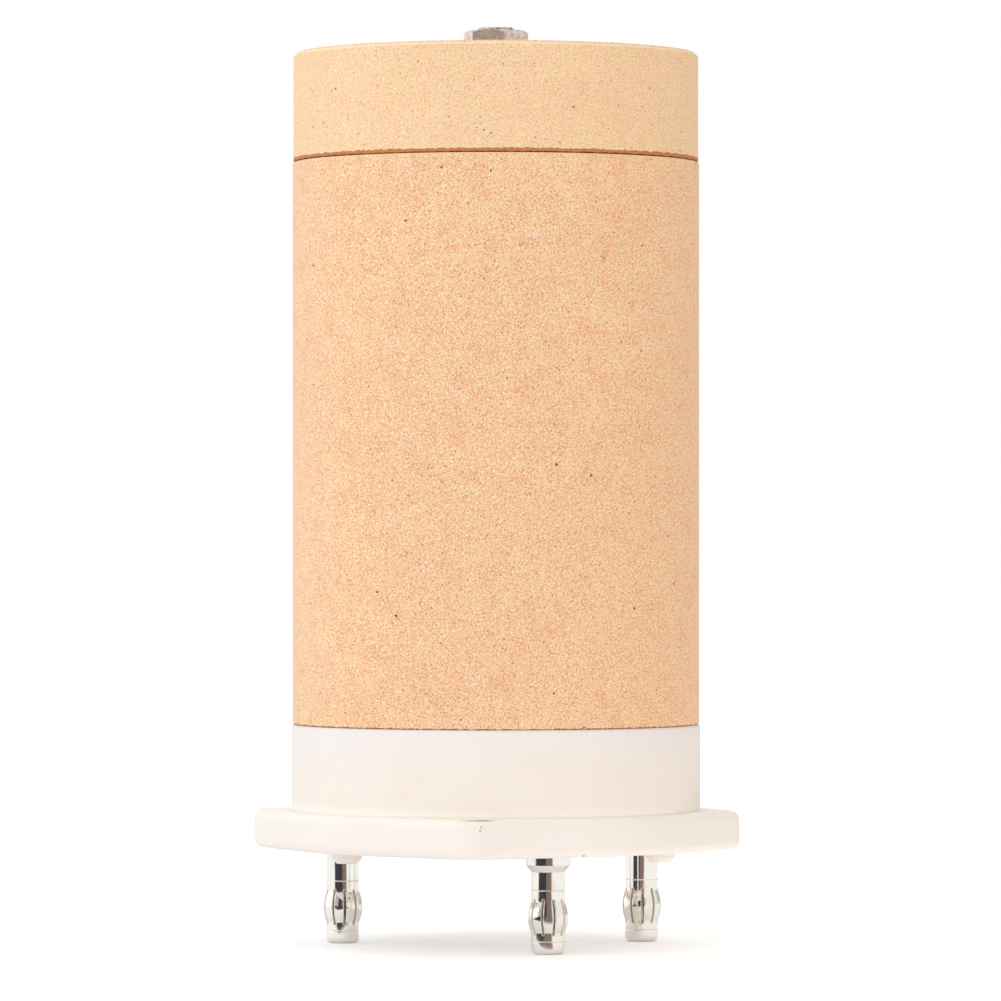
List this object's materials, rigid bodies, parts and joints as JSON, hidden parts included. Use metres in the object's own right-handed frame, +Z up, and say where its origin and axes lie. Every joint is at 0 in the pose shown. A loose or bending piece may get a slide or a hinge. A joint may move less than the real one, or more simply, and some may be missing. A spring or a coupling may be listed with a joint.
{
  "type": "ceramic heating element",
  "caption": "Plug-in ceramic heating element for a hot-air tool: channelled ceramic cylinder with end cap, on a collared base with ears and 4 mm spring plug pins.",
  "frame": {"origin": "on the element's axis, in the plane of the plug pins' tips that it stands on", "axes": "+Z up along the tie rod, from the plug pins to the end cap; -Y towards the pictured front, where the front plug pin stands; +X to its right"},
  "size_m": [0.059, 0.059, 0.1116],
  "materials": {
    "block_ceramic": "matte",
    "cap_ceramic": "matte",
    "base_ceramic": "satin",
    "fastener_steel": "satin",
    "terminal_steel": "satin",
    "plated_brass": "polished",
    "plated_spring": "polished",
    "resistance_wire": "satin"
  },
  "bodies": {
    "root": {"main_block": "block_ceramic", "end_cap": "cap_ceramic", "base_flange": "base_ceramic", "tie_rod": "fastener_steel", "top_washer": "fastener_steel", "top_nut": "fastener_steel", "bottom_washer": "fastener_steel", "bottom_nut": "fastener_steel", "plug_pin_front": "plated_brass", "spring_cage_front": "plated_spring", "stud_washer_front": "fastener_steel", "stud_nut_front": "fastener_steel", "terminal_tag_front": "terminal_steel", "plug_pin_right": "plated_brass", "spring_cage_right": "plated_spring", "stud_washer_right": "fastener_steel", "stud_nut_right": "fastener_steel", "terminal_tag_right": "terminal_steel", "plug_pin_left": "plated_brass", "spring_cage_left": "plated_spring", "stud_washer_left": "fastener_steel", "stud_nut_left": "fastener_steel", "terminal_tag_left": "terminal_steel", "heating_coil_a": "resistance_wire", "heating_coil_b": "resistance_wire"}
  },
  "joints": []
}
